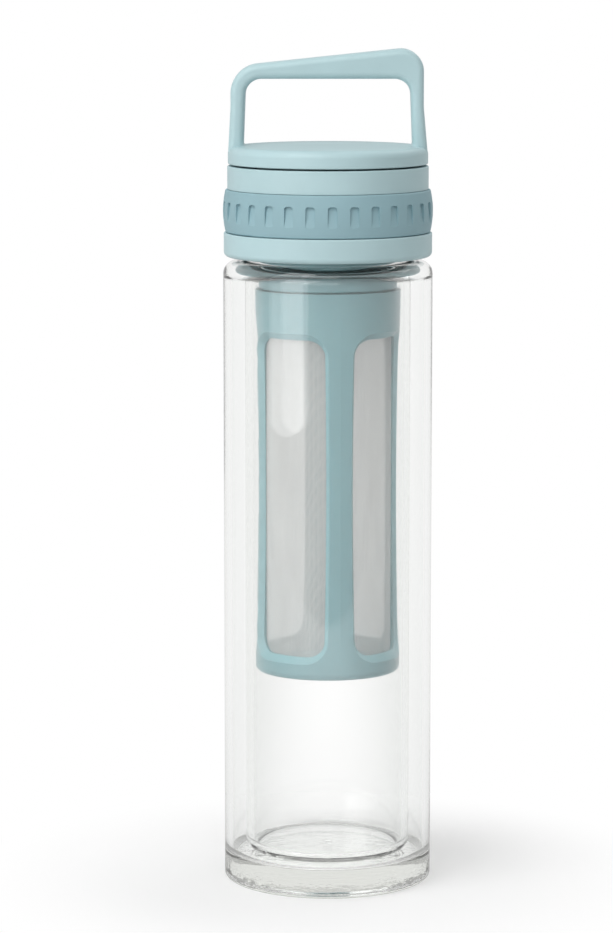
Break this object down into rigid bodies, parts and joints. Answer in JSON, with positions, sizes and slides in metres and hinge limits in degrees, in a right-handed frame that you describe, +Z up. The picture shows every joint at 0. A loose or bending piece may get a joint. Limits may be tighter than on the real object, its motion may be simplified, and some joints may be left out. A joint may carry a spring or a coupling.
{
  "type": "infuser bottle",
  "caption": "Double-walled glass water bottle with a hanging mesh infuser basket and a two-stage screw lid with a carry handle.",
  "frame": {"origin": "centre of the foot, on the surface the bottle stands on", "axes": "+Z up along the bottle's axis; the handle stands in the XZ plane, taller at +X; the front faces -Y"},
  "size_m": [0.068, 0.068, 0.2727],
  "materials": {
    "glass": "clear polished borosilicate glass",
    "lid_plastic": "fine satin moulding, pale blue-green",
    "basket_plastic": "smooth satin moulding, pale blue-green",
    "grip_silicone": "soft matte silicone, grey-blue",
    "silicone_clear": "milky food-grade silicone",
    "nylon_mesh": "fine pale woven nylon mesh"
  },
  "bodies": {
    "flask": {"outer_glass": "glass", "inner_glass": "glass"},
    "infuser_top": {"infuser_ring": "basket_plastic", "rim_seal": "silicone_clear"},
    "lid": {"collar_body": "lid_plastic", "grip_band": "grip_silicone", "drinking_spout": "lid_plastic", "lid_seal": "silicone_clear"},
    "cap_washer": {"cap_seal": "silicone_clear"},
    "cap": {"cap_shell": "lid_plastic", "cap_liner": "lid_plastic"},
    "mesh": {"mesh_sleeve": "nylon_mesh"},
    "basket": {"basket_frame": "basket_plastic"}
  },
  "joints": [
    {"name": "lid_lift", "type": "slide", "parent": "flask", "child": "infuser_top", "axis": [0, 0, 1], "range_m": [0, 0.2]},
    {"name": "lid_turn", "type": "hinge", "parent": "infuser_top", "child": "lid", "pos_m": [0, 0, 0.2159], "axis": [0, 0, 1], "range_deg": [0, 540]},
    {"name": "cap_lift", "type": "slide", "parent": "lid", "child": "cap_washer", "axis": [0, 0, 1], "range_m": [0, 0.04]},
    {"name": "cap_turn", "type": "hinge", "parent": "cap_washer", "child": "cap", "pos_m": [0, 0, 0.2384], "axis": [0, 0, 1], "range_deg": [0, 450]},
    {"name": "basket_drop", "type": "slide", "parent": "infuser_top", "child": "mesh", "axis": [0, 0, -1], "range_m": [0, 0.04]},
    {"name": "basket_turn", "type": "hinge", "parent": "mesh", "child": "basket", "pos_m": [0, 0, 0.1955], "axis": [0, 0, -1], "range_deg": [0, 360]}
  ]
}
